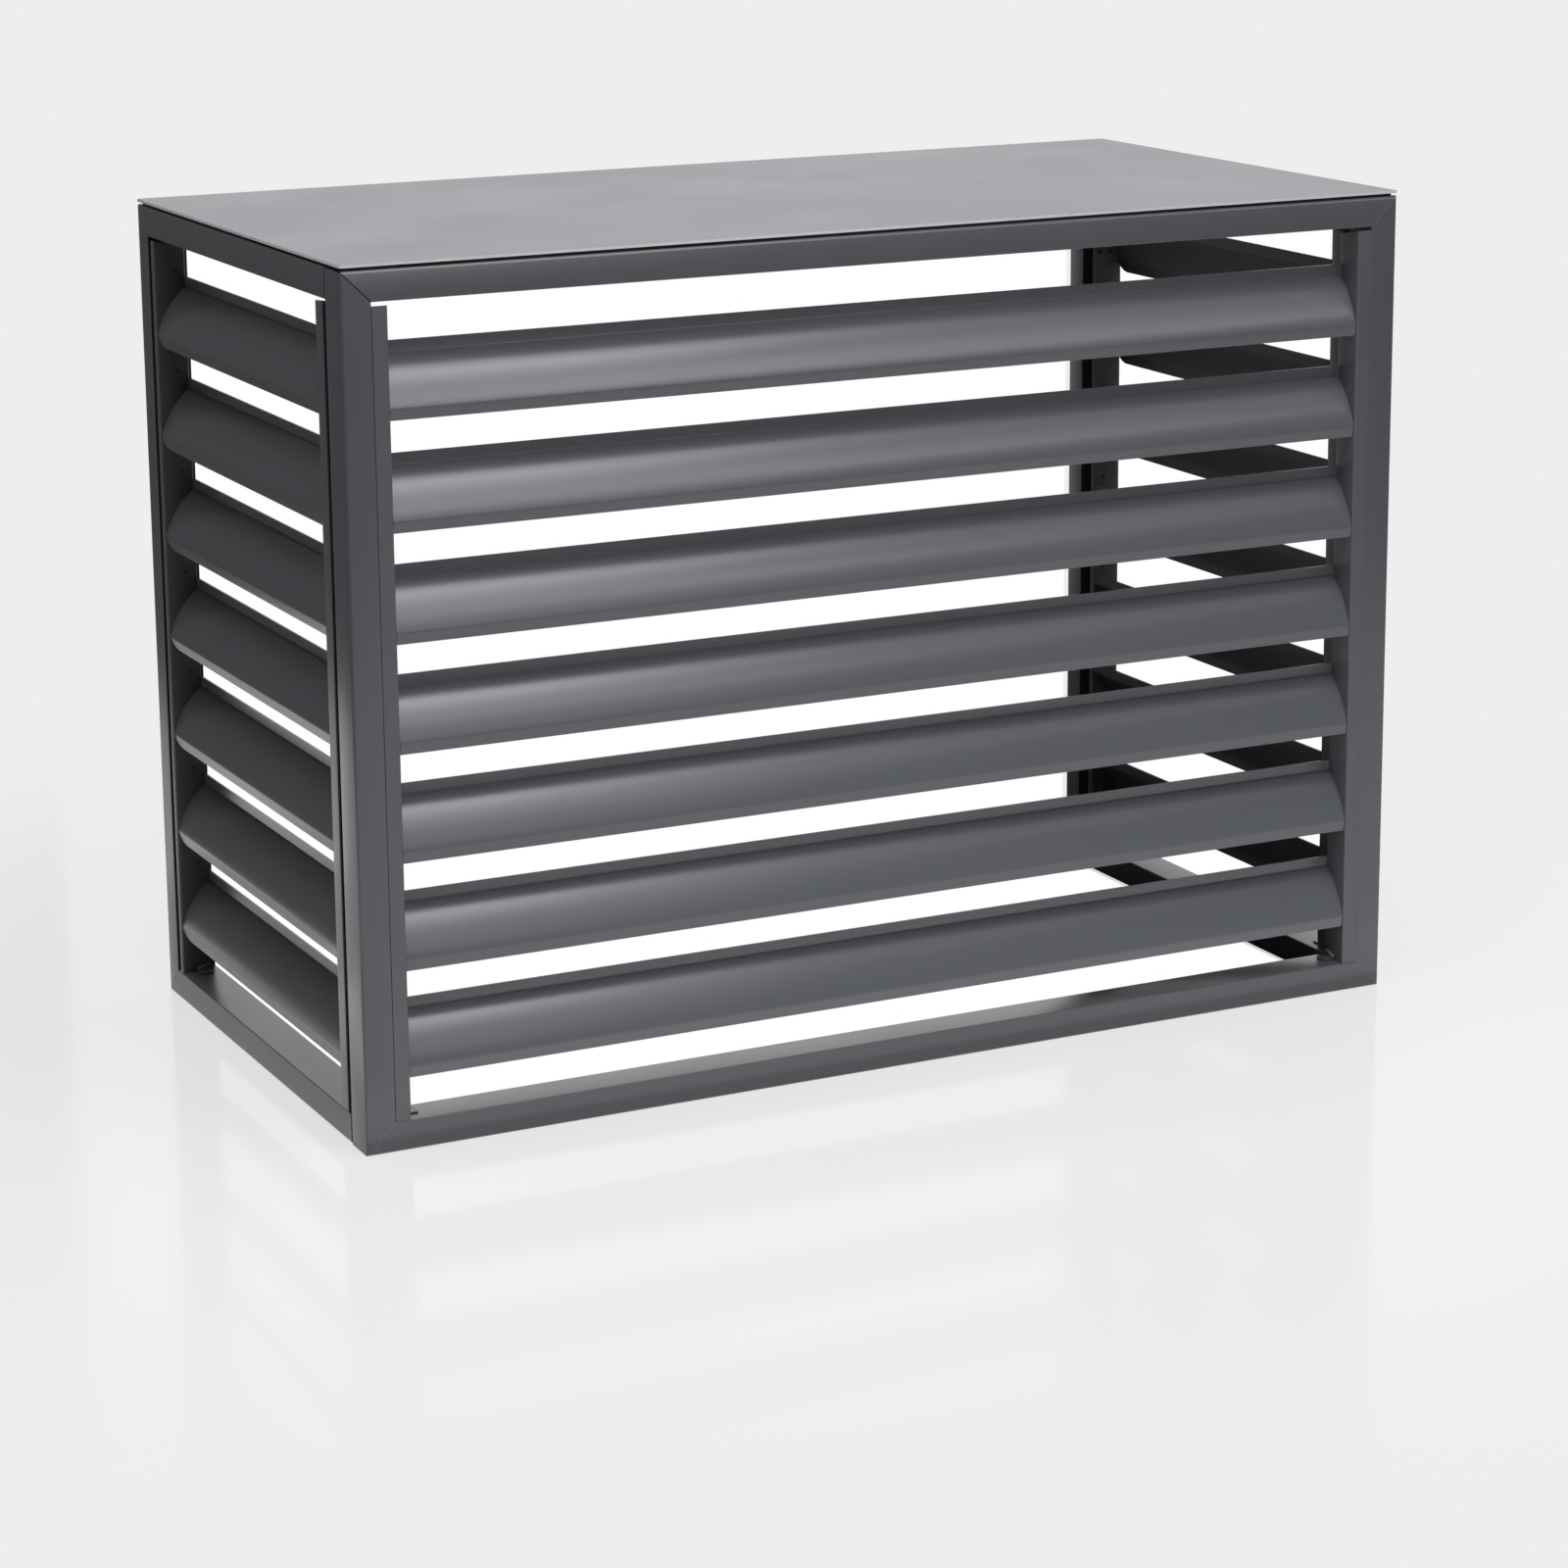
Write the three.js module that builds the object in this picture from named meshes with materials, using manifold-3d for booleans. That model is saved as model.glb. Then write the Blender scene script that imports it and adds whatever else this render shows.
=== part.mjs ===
// Air conditioner screen: a louvred aluminium surround that stands over an outdoor unit.
// A front frame, two side frames, a rear tie and a flat top; open at the rear and at the foot.
// Millimetres: +X to the right along the front, +Y to the rear, +Z up.
// The origin is the middle of the footprint, on the ground.

import * as THREE from 'three';
import { mergeVertices } from 'three/addons/utils/BufferGeometryUtils.js';
import Module from 'manifold-3d';

const wasm = await Module();
wasm.setup();

// Overall size
const screenWidth = 1110;
const screenDepth = 570;
const screenHeight = 820;

// Clearance between pieces that meet or rest on each other
const fitGap = 0.3;

// Top sheet, and the seal between it and the rails
const sheetThickness = 2.5;
const sheetCorner = 2;
const sealThickness = 2;
const sealWidth = 18;
const sealInset = 4;

// Frame tube, with its narrow side in the plane of the frame
const tubeFace = 29;
const tubeDepth = 40;
const tubeWall = 1.5;
const tubeOuterCorner = 3;
const tubeInnerCorner = 1;

// Corner keys inside the mitred joints
const keyArm = 62;
const keyWall = 3;

// Folded channels that line the frames and carry the blades
const channelWidth = 15.2;
const frontEndChannelWidth = 19;
const rearEndChannelWidth = 6;
const channelDepth = 33;
const channelWall = 1.5;
const channelBend = 2;
const channelHeadGap = 3.5;
const channelHeadSlant = 6;

// Seams from the channels of a side frame to the front frame and to the rear stile
const frontSeam = 6;
const rearSeam = 9.5;

// Louvre blades
const bladeCount = 7;
const bladeEndGap = 39.7;
const bladeHeight = 67.5;
const bladeWall = 1.5;
const bladeSetback = 1.5;
const bladeBend = 1.5;
const bladeCrown = 4.8;
const upperLip = 11;
const lowerLip = 10;
const lowerLipLean = 1.5;

// Rounded-off lower corner of a side blade's lip, at its rear end
const reliefRise = 8;
const reliefReach = 22;

// Folded tabs at both ends of a blade, behind the slope
const tabRise = 13;
const tabHeight = 15;

// Angle cleats at the foot of each channel
const cleatHeight = 8;
const cleatSlant = 4;
const cleatFoot = 12;
const cleatLength = 14;
const cleatInset = 15;
const cleatWall = 1.5;
const cleatBend = 1.5;

// How finely curves are divided
const cornerSteps = 3;
const bendSteps = 3;
const slopeSteps = 12;
const reliefSteps = 6;

// Heights and places that several pieces share
const sheetUnderside = screenHeight - sheetThickness;
const frameTop = sheetUnderside - fitGap - sealThickness - fitGap;
const railTop = tubeFace;
const railUnderside = frameTop - tubeFace;
const sideLength = screenDepth - tubeDepth;
const mitreSetback = fitGap * Math.SQRT1_2;
const bladePitch = (railUnderside - railTop - 2 * bladeEndGap - bladeHeight) / (bladeCount - 1);
const lowestBlade = railTop + bladeEndGap;

// Directions in a frame: X along it, Y inward from its outer face, Z up
const right = new THREE.Vector3(1, 0, 0);
const inward = new THREE.Vector3(0, 1, 0);
const up = new THREE.Vector3(0, 0, 1);
const left = right.clone().negate();
const down = up.clone().negate();

// Finishes
function coatedMaterial() {
  return new THREE.MeshStandardMaterial({ color: 0x4d5156, roughness: 0.42, metalness: 0.15 });
}

function bareMaterial() {
  return new THREE.MeshStandardMaterial({ color: 0xa9abad, roughness: 0.35, metalness: 1 });
}

function sealMaterial() {
  return new THREE.MeshStandardMaterial({ color: 0x1c1c1e, roughness: 0.85, metalness: 0 });
}

// A named mesh whose local axes are turned onto three given directions
function placedMesh(name, geometry, material, axes, position) {
  const mesh = new THREE.Mesh(geometry, material);
  mesh.name = name;
  mesh.setRotationFromMatrix(new THREE.Matrix4().makeBasis(...axes));
  mesh.position.copy(position);
  return mesh;
}

function extruded(shape, length) {
  return new THREE.ExtrudeGeometry(shape, {
    depth: length,
    bevelEnabled: false,
    curveSegments: cornerSteps,
  });
}

// Solids for joining
function toSolid(geometry) {
  const bare = geometry.clone();
  bare.deleteAttribute('normal');
  bare.deleteAttribute('uv');
  const merged = mergeVertices(bare);
  const vertProperties = new Float32Array(merged.attributes.position.array);
  const triVerts = new Uint32Array(merged.index.array);
  return new wasm.Manifold(new wasm.Mesh({ numProp: 3, vertProperties, triVerts }));
}

function toGeometry(solid) {
  const { vertProperties, triVerts } = solid.getMesh();
  const geometry = new THREE.BufferGeometry();
  geometry.setAttribute('position', new THREE.BufferAttribute(vertProperties, 3));
  geometry.setIndex(new THREE.BufferAttribute(triVerts, 1));
  geometry.computeVertexNormals();
  return geometry;
}

// Rounded rectangle with one corner at the origin; near radii lie along X = 0, far radii opposite
function roundedRectangle(width, height, near, far) {
  const shape = new THREE.Shape();
  shape.moveTo(near, 0);
  shape.lineTo(width - far, 0);
  shape.absarc(width - far, far, far, -Math.PI / 2, 0, false);
  shape.lineTo(width, height - far);
  shape.absarc(width - far, height - far, far, 0, Math.PI / 2, false);
  shape.lineTo(near, height);
  shape.absarc(near, height - near, near, Math.PI / 2, Math.PI, false);
  shape.lineTo(0, near);
  shape.absarc(near, near, near, Math.PI, 1.5 * Math.PI, false);
  return shape;
}

function rectangularHole(minX, minY, maxX, maxY) {
  const hole = new THREE.Path();
  hole.moveTo(minX, minY);
  hole.lineTo(minX, maxY);
  hole.lineTo(maxX, maxY);
  hole.lineTo(maxX, minY);
  hole.closePath();
  return hole;
}

// Round bend of folded sheet in place of a sharp corner of its centre line
function bendPoints(before, corner, after, reach) {
  const start = before.clone().sub(corner).setLength(reach).add(corner);
  const end = after.clone().sub(corner).setLength(reach).add(corner);
  return new THREE.QuadraticBezierCurve(start, corner, end).getPoints(bendSteps);
}

// Outline of folded sheet: its centre line moved half a thickness to both sides
function foldedSheetShape(centreLine, thickness) {
  const last = centreLine.length - 1;
  const oneSide = [];
  const otherSide = [];
  centreLine.forEach((point, i) => {
    const from = centreLine[Math.max(i - 1, 0)];
    const to = centreLine[Math.min(i + 1, last)];
    const arriving = (i === 0 ? to.clone().sub(point) : point.clone().sub(from)).normalize();
    const leaving = (i === last ? arriving.clone() : to.clone().sub(point)).normalize();
    const square = new THREE.Vector2(-arriving.y, arriving.x);
    const offset = new THREE.Vector2(-arriving.y - leaving.y, arriving.x + leaving.x).normalize();
    offset.multiplyScalar(thickness / 2 / offset.dot(square));
    oneSide.push(point.clone().add(offset));
    otherSide.push(point.clone().sub(offset));
  });
  return new THREE.Shape([...oneSide, ...otherSide.reverse()]);
}

// Frame tube: X runs across its narrow side from the frame's outer edge, Y inward, Z along it.
// A mitred end is cut at 45 degrees, so it gets shorter towards the inside of the frame.
function tubeGeometry(length, mitredStart, mitredEnd) {
  const section = roundedRectangle(tubeFace, tubeDepth, tubeOuterCorner, tubeInnerCorner);
  const bore = rectangularHole(tubeWall, tubeWall, tubeFace - tubeWall, tubeDepth - tubeWall);
  section.holes.push(bore);
  const geometry = extruded(section, length);
  const position = geometry.attributes.position;
  for (let i = 0; i < position.count; i += 1) {
    const across = position.getX(i);
    const atStart = position.getZ(i) === 0;
    if (atStart && mitredStart) {
      position.setZ(i, mitreSetback + across);
    }
    if (!atStart && mitredEnd) {
      position.setZ(i, length - mitreSetback - across);
    }
  }
  geometry.computeVertexNormals();
  return geometry;
}

// Corner key: an angle with a pocket in each arm, X and Y along the two arms from the corner
function keyGeometry() {
  const outer = tubeWall + fitGap;
  const inner = tubeFace - tubeWall - fitGap;
  const shape = new THREE.Shape();
  shape.moveTo(outer, outer);
  shape.lineTo(keyArm, outer);
  shape.lineTo(keyArm, inner);
  shape.lineTo(inner, inner);
  shape.lineTo(inner, keyArm);
  shape.lineTo(outer, keyArm);
  shape.closePath();
  const low = outer + keyWall;
  const high = inner - keyWall;
  shape.holes.push(rectangularHole(inner, low, keyArm - keyWall, high));
  shape.holes.push(rectangularHole(low, inner, high, keyArm - keyWall));
  return extruded(shape, tubeDepth - 2 * outer);
}

// Channel: X from the frame's stile to the web that faces the opening, Y inward, Z along it.
// Its head, at the start or at the end, is cut on a slant that falls towards the inside.
function channelGeometry(width, length, headAtStart) {
  const half = channelWall / 2;
  const outerEdge = new THREE.Vector2(0, half);
  const outerCorner = new THREE.Vector2(width - half, half);
  const innerCorner = new THREE.Vector2(width - half, channelDepth - half);
  const innerEdge = new THREE.Vector2(0, channelDepth - half);
  const centreLine = [
    outerEdge,
    ...bendPoints(outerEdge, outerCorner, innerCorner, channelBend),
    ...bendPoints(outerCorner, innerCorner, innerEdge, channelBend),
    innerEdge,
  ];
  const geometry = extruded(foldedSheetShape(centreLine, channelWall), length);
  const position = geometry.attributes.position;
  for (let i = 0; i < position.count; i += 1) {
    const fall = channelHeadSlant * position.getY(i) / channelDepth;
    const atStart = position.getZ(i) === 0;
    if (atStart && headAtStart) {
      position.setZ(i, fall);
    }
    if (!atStart && !headAtStart) {
      position.setZ(i, length - fall);
    }
  }
  geometry.computeVertexNormals();
  return geometry;
}

// Blade section: X inward from the frame's outer face, Y up from the blade's lower edge.
// A lower lip, a slope that arches outward and an upper lip, all folded from one sheet.
const sheetFront = bladeSetback + bladeWall / 2;
const sheetBack = channelDepth - bladeWall / 2;
const lipFoot = new THREE.Vector2(sheetFront + lowerLipLean, 0);
const lowerFold = new THREE.Vector2(sheetFront, lowerLip);
const upperFold = new THREE.Vector2(sheetBack, bladeHeight - upperLip);
const lipHead = new THREE.Vector2(sheetBack, bladeHeight);

// The slope of the blade is an arc through both folds that stands out from their chord by the crown
const chord = upperFold.clone().sub(lowerFold);
const slopeRadius = chord.lengthSq() / (8 * bladeCrown) + bladeCrown / 2;
const outOfChord = new THREE.Vector2(-chord.y, chord.x).normalize();
const slopeCentre = lowerFold.clone()
  .addScaledVector(chord, 0.5)
  .addScaledVector(outOfChord, bladeCrown - slopeRadius);
const bendAngle = bladeBend / slopeRadius;
const slopeStart = lowerFold.clone().sub(slopeCentre).angle() - bendAngle;
const slopeEnd = upperFold.clone().sub(slopeCentre).angle() + bendAngle;

function bladeCentreLine() {
  const { x, y } = slopeCentre;
  const arc = new THREE.EllipseCurve(x, y, slopeRadius, slopeRadius, slopeStart, slopeEnd, true);
  const slope = arc.getPoints(slopeSteps);
  return [
    lipFoot,
    ...bendPoints(lipFoot, lowerFold, slope[0], bladeBend),
    ...slope.slice(1, -1),
    ...bendPoints(slope[slopeSteps], upperFold, lipHead, bladeBend),
    lipHead,
  ];
}

// Tab that closes part of a blade's end, from the sheet to the blade's rear edge
function bladeTab() {
  const rearTop = new THREE.Vector2(channelDepth, bladeHeight);
  const rearBottom = new THREE.Vector2(channelDepth, 0);
  const outline = new THREE.Shape([...bladeCentreLine(), rearTop, rearBottom].reverse());
  const level = new THREE.BoxGeometry(channelDepth, tabHeight, 2 * bladeWall);
  level.translate(channelDepth / 2, tabRise + tabHeight / 2, bladeWall / 2);
  return toSolid(extruded(outline, bladeWall)).intersect(toSolid(level));
}

// Waste below the rounded-off corner of a lip, at the blade end that lies at Z = 0
function reliefWaste(intoBlade) {
  const curve = new THREE.QuadraticBezierCurve(
    new THREE.Vector2(-intoBlade * reliefReach, 0),
    new THREE.Vector2(-intoBlade * reliefReach / 2, 0),
    new THREE.Vector2(0, reliefRise));
  const outline = [
    new THREE.Vector2(intoBlade * reliefRise, reliefRise),
    new THREE.Vector2(intoBlade * reliefRise, -reliefRise),
    new THREE.Vector2(-intoBlade * reliefReach, -reliefRise),
    ...curve.getPoints(reliefSteps),
  ];
  const waste = extruded(new THREE.Shape(outline), channelDepth);
  waste.rotateY(Math.PI / 2);
  return waste;
}

function bladeGeometry(length, reliefAtStart, reliefAtEnd) {
  let blade = toSolid(extruded(foldedSheetShape(bladeCentreLine(), bladeWall), length))
    .add(bladeTab())
    .add(bladeTab().translate([0, 0, length - bladeWall]));
  if (reliefAtStart) {
    blade = blade.subtract(toSolid(reliefWaste(1)));
  }
  if (reliefAtEnd) {
    blade = blade.subtract(toSolid(reliefWaste(-1).translate(0, 0, length)));
  }
  return toGeometry(blade);
}

// Cleat: X away from the channel's web, Y up from the bottom rail, Z along the cleat.
// Its upright leg is cut on a slant that falls towards the outer face.
function cleatGeometry(outerEndAtStart) {
  const half = cleatWall / 2;
  const head = new THREE.Vector2(half, cleatHeight);
  const corner = new THREE.Vector2(half, half);
  const toe = new THREE.Vector2(cleatFoot, half);
  const centreLine = [head, ...bendPoints(head, corner, toe, cleatBend), toe];
  const geometry = extruded(foldedSheetShape(centreLine, cleatWall), cleatLength);
  const position = geometry.attributes.position;
  for (let i = 0; i < position.count; i += 1) {
    const atStart = position.getZ(i) === 0;
    const atHead = position.getY(i) > cleatHeight - half;
    if (atHead && atStart === outerEndAtStart) {
      position.setY(i, cleatHeight - cleatSlant);
    }
  }
  geometry.computeVertexNormals();
  return geometry;
}

// One tube of a frame; it starts at a corner and turns its outer edge away from the opening
function frameTube(name, start, along, length, mitredStart, mitredEnd) {
  const across = new THREE.Vector3().crossVectors(inward, along);
  const geometry = tubeGeometry(length, mitredStart, mitredEnd);
  return placedMesh(name, geometry, coatedMaterial(), [across, inward, along], start);
}

// Key in the corner between the tube that arrives there and the one that leaves
function cornerKey(name, corner, leaving, back) {
  const start = corner.clone().addScaledVector(inward, tubeWall + fitGap);
  return placedMesh(name, keyGeometry(), bareMaterial(), [leaving, back, inward], start);
}

// A channel with its cleat; away points from the stile into the opening
function channelPieces(name, edge, away, width) {
  const bottom = railTop + fitGap;
  const length = railUnderside - channelHeadGap - bottom;
  const leansRight = away.x > 0;
  const start = new THREE.Vector3(edge, 0, leansRight ? bottom : bottom + length);
  const axes = [away, inward, leansRight ? up : down];
  const channel = placedMesh(
    `${name}_channel`, channelGeometry(width, length, !leansRight), coatedMaterial(), axes, start);

  const webFace = edge + away.x * (width + fitGap);
  const sideways = new THREE.Vector3().crossVectors(away, up);
  const cleatStart = new THREE.Vector3(
    webFace, cleatInset + (leansRight ? cleatLength : 0), bottom);
  const cleat = placedMesh(
    `${name}_cleat`, cleatGeometry(!leansRight), coatedMaterial(), [away, up, sideways],
    cleatStart);
  return [channel, cleat];
}

// Blades of one frame, counted from the top; only the front frame has a stile at both ends
function bladePieces(name, start, length, stileAtStart, stileAtEnd) {
  const isFront = stileAtStart && stileAtEnd;
  const geometry = bladeGeometry(length, stileAtStart && !isFront, stileAtEnd && !isFront);
  const pieces = [];
  for (let i = 0; i < bladeCount; i += 1) {
    const height = lowestBlade + (bladeCount - 1 - i) * bladePitch;
    const position = new THREE.Vector3(start, 0, height);
    pieces.push(placedMesh(
      `${name}_blade_${i + 1}`, geometry, coatedMaterial(), [inward, up, right], position));
  }
  return pieces;
}

// How far from the end of its frame a channel begins, and how wide it is: in the front frame it
// lies against the stile, and in a side frame a seam parts it from the stile or the front frame
function channelPlace(isFront, hasStile) {
  if (isFront) {
    return { margin: tubeFace + fitGap, width: channelWidth };
  }
  return hasStile
    ? { margin: tubeFace + rearSeam, width: rearEndChannelWidth }
    : { margin: frontSeam, width: frontEndChannelWidth };
}

// A louvred frame seen from outside. An end without a stile butts against the front frame,
// and its rails are cut square there.
function louvredFrame(name, length, startName, endName, stileAtStart, stileAtEnd) {
  const frame = new THREE.Group();
  const startCut = stileAtStart ? 0 : fitGap;
  const endCut = stileAtEnd ? 0 : fitGap;
  const railLength = length - startCut - endCut;
  const bottomStart = new THREE.Vector3(0, 0, 0);
  const topStart = new THREE.Vector3(0, 0, frameTop);
  const topEnd = new THREE.Vector3(length, 0, frameTop);
  const bottomEnd = new THREE.Vector3(length, 0, 0);

  frame.add(frameTube(`${name}_top_rail`, topStart.clone().addScaledVector(right, startCut),
    right, railLength, stileAtStart, stileAtEnd));
  frame.add(frameTube(`${name}_bottom_rail`, bottomEnd.clone().addScaledVector(left, endCut),
    left, railLength, stileAtEnd, stileAtStart));
  if (stileAtStart) {
    frame.add(frameTube(`${startName}_stile`, bottomStart, up, frameTop, true, true));
    frame.add(cornerKey(`${startName}_bottom_key`, bottomStart, up, right));
    frame.add(cornerKey(`${startName}_top_key`, topStart, right, down));
  }
  if (stileAtEnd) {
    frame.add(frameTube(`${endName}_stile`, topEnd, down, frameTop, true, true));
    frame.add(cornerKey(`${endName}_top_key`, topEnd, down, left));
    frame.add(cornerKey(`${endName}_bottom_key`, bottomEnd, left, up));
  }

  const isFront = stileAtStart && stileAtEnd;
  const atStart = channelPlace(isFront, stileAtStart);
  const atEnd = channelPlace(isFront, stileAtEnd);
  frame.add(...channelPieces(startName, atStart.margin, right, atStart.width));
  frame.add(...channelPieces(endName, length - atEnd.margin, left, atEnd.width));

  const bladeStart = atStart.margin + atStart.width + fitGap;
  const bladeLength = length - atEnd.margin - atEnd.width - fitGap - bladeStart;
  frame.add(...bladePieces(name, bladeStart, bladeLength, stileAtStart, stileAtEnd));
  return frame;
}

// Tie between the two rear stiles, under the rear edge of the top
function rearTie() {
  const side = new THREE.Group();
  const inset = tubeDepth + fitGap;
  const start = new THREE.Vector3(inset, 0, frameTop);
  side.add(frameTube('rear_top_rail', start, right, screenWidth - 2 * inset, false, false));
  return side;
}

// Ring of seal strip on the rails, set back from their outer faces
function topSeal() {
  const width = screenWidth - 2 * sealInset;
  const depth = screenDepth - 2 * sealInset;
  const ring = roundedRectangle(width, depth, sheetCorner, sheetCorner);
  ring.holes.push(rectangularHole(sealWidth, sealWidth, width - sealWidth, depth - sealWidth));
  const corner = new THREE.Vector3(-width / 2, -depth / 2, frameTop + fitGap);
  return placedMesh(
    'top_seal', extruded(ring, sealThickness), sealMaterial(), [right, inward, up], corner);
}

function topSheet() {
  const outline = roundedRectangle(screenWidth, screenDepth, sheetCorner, sheetCorner);
  const corner = new THREE.Vector3(-screenWidth / 2, -screenDepth / 2, sheetUnderside);
  return placedMesh(
    'top_sheet', extruded(outline, sheetThickness), coatedMaterial(), [right, inward, up], corner);
}

// Assembly
const screen = new THREE.Group();
screen.name = 'air_conditioner_screen';

const front = louvredFrame('front', screenWidth, 'front_left', 'front_right', true, true);
front.position.set(-screenWidth / 2, -screenDepth / 2, 0);
screen.add(front);

const leftSide = louvredFrame('left', sideLength, 'left_rear', 'left_front', true, false);
leftSide.position.set(-screenWidth / 2, screenDepth / 2, 0);
leftSide.rotation.z = -Math.PI / 2;
screen.add(leftSide);

const rightSide = louvredFrame('right', sideLength, 'right_front', 'right_rear', false, true);
rightSide.position.set(screenWidth / 2, tubeDepth - screenDepth / 2, 0);
rightSide.rotation.z = Math.PI / 2;
screen.add(rightSide);

const rear = rearTie();
rear.position.set(screenWidth / 2, screenDepth / 2, 0);
rear.rotation.z = Math.PI;
screen.add(rear);

screen.add(topSeal(), topSheet());

export default screen;
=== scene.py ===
# %% [markdown]
# A louvred screen for an outdoor air conditioning unit, dressed for its portrait.
#
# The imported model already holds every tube, channel and blade at its real size, so this file adds
# what a model of solids lacks: the finish of the coat, the bare cut edges, the screws that show
# and a plain studio to look at it in. Everything is in metres, with the origin in the middle of
# the footprint.

# %% Load the frame
from math import cos, degrees, pi, radians, sin

import bpy
from mathutils import Matrix, Vector


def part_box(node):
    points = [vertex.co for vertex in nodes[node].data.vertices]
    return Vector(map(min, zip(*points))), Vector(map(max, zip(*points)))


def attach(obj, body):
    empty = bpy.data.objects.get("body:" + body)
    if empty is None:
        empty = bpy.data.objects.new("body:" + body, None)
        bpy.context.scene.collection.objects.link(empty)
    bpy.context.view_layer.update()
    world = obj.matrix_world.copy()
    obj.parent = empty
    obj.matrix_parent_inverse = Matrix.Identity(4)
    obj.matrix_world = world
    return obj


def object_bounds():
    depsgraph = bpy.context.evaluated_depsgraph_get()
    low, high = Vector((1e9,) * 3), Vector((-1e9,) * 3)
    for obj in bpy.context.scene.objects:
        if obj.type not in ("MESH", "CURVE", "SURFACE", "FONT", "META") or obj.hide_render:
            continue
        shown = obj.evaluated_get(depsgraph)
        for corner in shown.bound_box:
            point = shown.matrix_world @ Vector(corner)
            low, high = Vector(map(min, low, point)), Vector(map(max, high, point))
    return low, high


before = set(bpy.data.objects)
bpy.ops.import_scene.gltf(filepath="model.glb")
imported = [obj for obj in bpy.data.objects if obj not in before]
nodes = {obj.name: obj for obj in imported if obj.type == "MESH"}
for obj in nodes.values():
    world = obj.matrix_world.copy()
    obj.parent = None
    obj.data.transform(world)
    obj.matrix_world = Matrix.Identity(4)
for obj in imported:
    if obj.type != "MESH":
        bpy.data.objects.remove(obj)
cad_low, cad_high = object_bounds()
MM = 0.001
print("nodes:", len(nodes), "box:", tuple(cad_low), tuple(cad_high))

# %% [markdown]
# The camera stands low in front of the left corner. Its heading, tilt and tiny roll were found
# from the straight edges of the screen in the photograph. The optical axis passes above the
# middle of the picture, because there is empty room below the object, so the lens is shifted down
# a little.

# %% Camera
CAMERA_PLACE = Vector((-1.8022, -3.6722, 1.3022))
HEADING = radians(26.342)
TILT_DOWN = radians(12.826)
ROLL = radians(-0.479)
SENSOR = 36.0
LENS = 95.03
SHIFT_DOWN = 150 / 1600

camera_data = bpy.data.cameras.new("camera")
camera_data.sensor_width = SENSOR
camera_data.lens = LENS
camera_data.shift_y = -SHIFT_DOWN
camera = bpy.data.objects.new("camera", camera_data)
turn = Matrix.Rotation(-HEADING, 4, "Z") @ Matrix.Rotation(pi / 2 - TILT_DOWN, 4, "X")
camera.matrix_world = Matrix.Translation(CAMERA_PLACE) @ turn @ Matrix.Rotation(ROLL, 4, "Z")
bpy.context.scene.collection.objects.link(camera)
bpy.context.scene.camera = camera
print("camera at", tuple(CAMERA_PLACE))

# %% [markdown]
# Every finish below is a material of shader nodes, and a few small makers keep the cells short.
# One starts an empty material. One adds a node and joins its inputs to a value or to another
# node's output. Three more add the nodes that come up most: a sum, a stretch of one range of
# values onto another, and a mix of two shaders. The last makes an object from corners and faces.

# %% Makers for materials and meshes
def new_material(name):
    material = bpy.data.materials.new(name)
    material.use_nodes = True
    material.node_tree.nodes.clear()
    return material, material.node_tree


def add_node(tree, kind, inputs=None, **settings):
    node = tree.nodes.new(kind)
    for key, value in settings.items():
        setattr(node, key, value)
    for key, value in (inputs or {}).items():
        if isinstance(value, bpy.types.NodeSocket):
            tree.links.new(value, node.inputs[key])
        else:
            node.inputs[key].default_value = value
    return node


def maths(tree, operation, *values):
    node = add_node(tree, "ShaderNodeMath", dict(enumerate(values)), operation=operation)
    return node.outputs["Value"]


def stretched(tree, value, source, target, **settings):
    node = add_node(tree, "ShaderNodeMapRange", {
        "Value": value, "From Min": source[0], "From Max": source[1],
        "To Min": target[0], "To Max": target[1]}, **settings)
    return node.outputs["Result"]


def mixed_shader(tree, share, first, second):
    mix = add_node(tree, "ShaderNodeMixShader", {0: share, 1: first, 2: second})
    return mix.outputs["Shader"]


def plain_mesh(name, corners, faces):
    mesh = bpy.data.meshes.new(name)
    mesh.from_pydata(corners, [], faces)
    mesh.update()
    thing = bpy.data.objects.new(name, mesh)
    bpy.context.scene.collection.objects.link(thing)
    return thing


# %% [markdown]
# The studio has an endless pale floor. What the camera, a reflection or a clear surface sees of
# it is mostly its own flat pale grey, and a share of it is the lit floor, which keeps the soft
# shadow of the screen. Other rays meet an ordinary pale floor, which bounces light up at the
# screen as paper does. Near the screen the floor has a trace of polish, so that a faint mirror
# image lies under it.

# %% Floor
BACKGROUND = (0.855, 0.855, 0.855, 1)
PAPER = (0.80, 0.80, 0.80, 1)
WHITE = (1, 1, 1, 1)
FLOOR_HALF = 30.0
SHADOW_SHARE = 0.20
SHADOW_REACH = (0.7, 1.45)
POLISH_PER_SHADE = 0.25
POLISH_ROUGHNESS = 0.12


def seen_by_eye_or_gloss(tree):
    path = add_node(tree, "ShaderNodeLightPath").outputs
    gloss = maths(tree, "MAXIMUM", path["Is Glossy Ray"], path["Is Transmission Ray"])
    return maths(tree, "MAXIMUM", path["Is Camera Ray"], gloss)


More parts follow.
